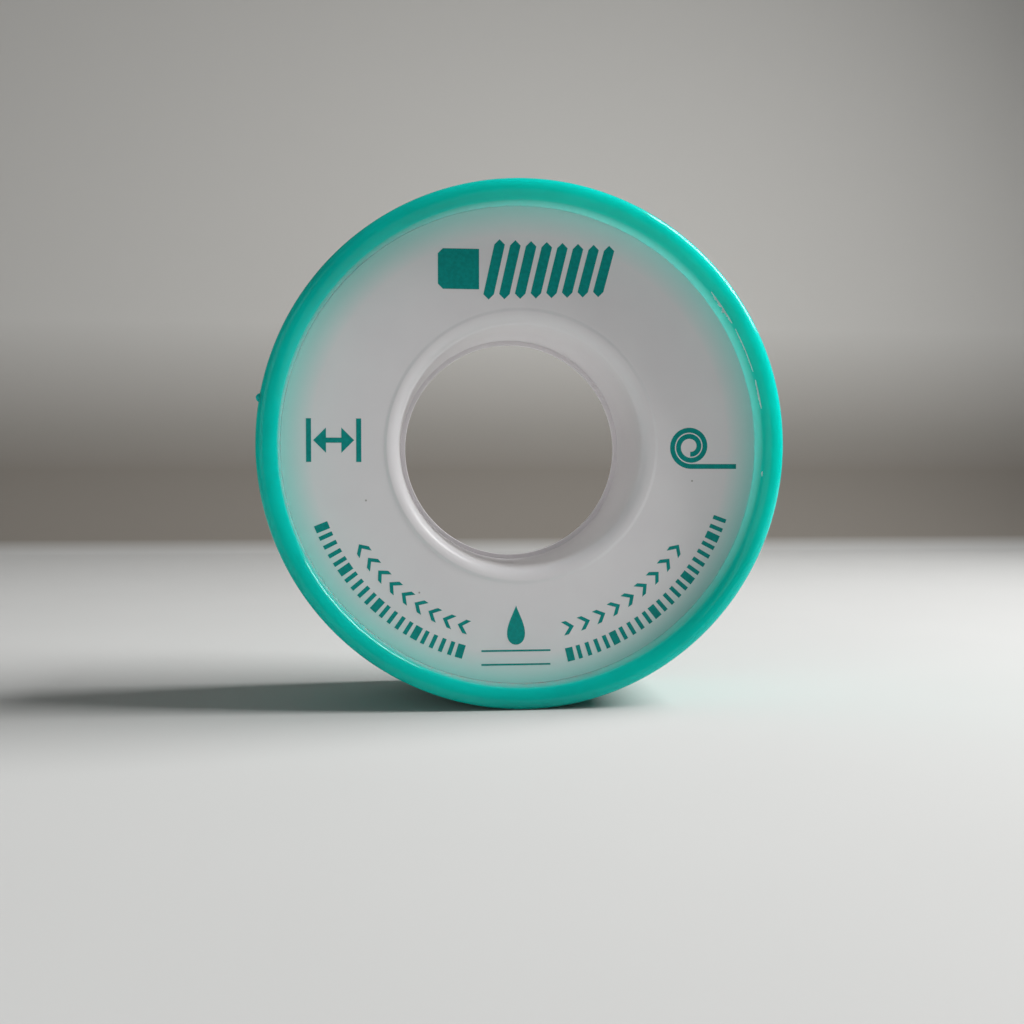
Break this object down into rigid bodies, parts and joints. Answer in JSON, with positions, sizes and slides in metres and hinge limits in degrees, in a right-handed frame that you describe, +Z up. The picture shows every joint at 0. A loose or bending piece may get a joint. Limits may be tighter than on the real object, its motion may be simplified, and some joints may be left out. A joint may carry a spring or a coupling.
{
  "type": "thread seal tape roll",
  "caption": "Roll of white PTFE thread seal tape on a flanged reel that pushes into a green cup-shaped plastic shell; the reel turns on its axis and pulls out along it.",
  "frame": {"origin": "on the axis of the roll, half way between the front of the rim and the back of the shell", "axes": "+Z up as the roll stands on its rim, +Y along the axis from the face of the reel towards the back of the shell, +X to the right as seen from the face"},
  "size_m": [0.052, 0.0174, 0.052],
  "materials": {
    "reel_plastic": "satin white moulded polypropylene, slightly translucent",
    "shell_plastic": "glossy teal-green moulded polypropylene, translucent",
    "tape": "soft white unsintered PTFE film with a waxy sheen",
    "print_ink": "teal printing ink on the face of the reel"
  },
  "bodies": {
    "shell": {"shell": "shell_plastic"},
    "tape_end": {"tape_end": "tape"},
    "reel": {"reel": "reel_plastic", "tape_winding": "tape"}
  },
  "joints": [
    {"name": "pull_out", "type": "slide", "parent": "shell", "child": "tape_end", "axis": [0, -1, 0], "range_m": [0, 0.03]},
    {"name": "reel_spin", "type": "hinge", "parent": "tape_end", "child": "reel", "pos_m": [0, 0, 0], "axis": [0, 1, 0], "continuous": true}
  ]
}
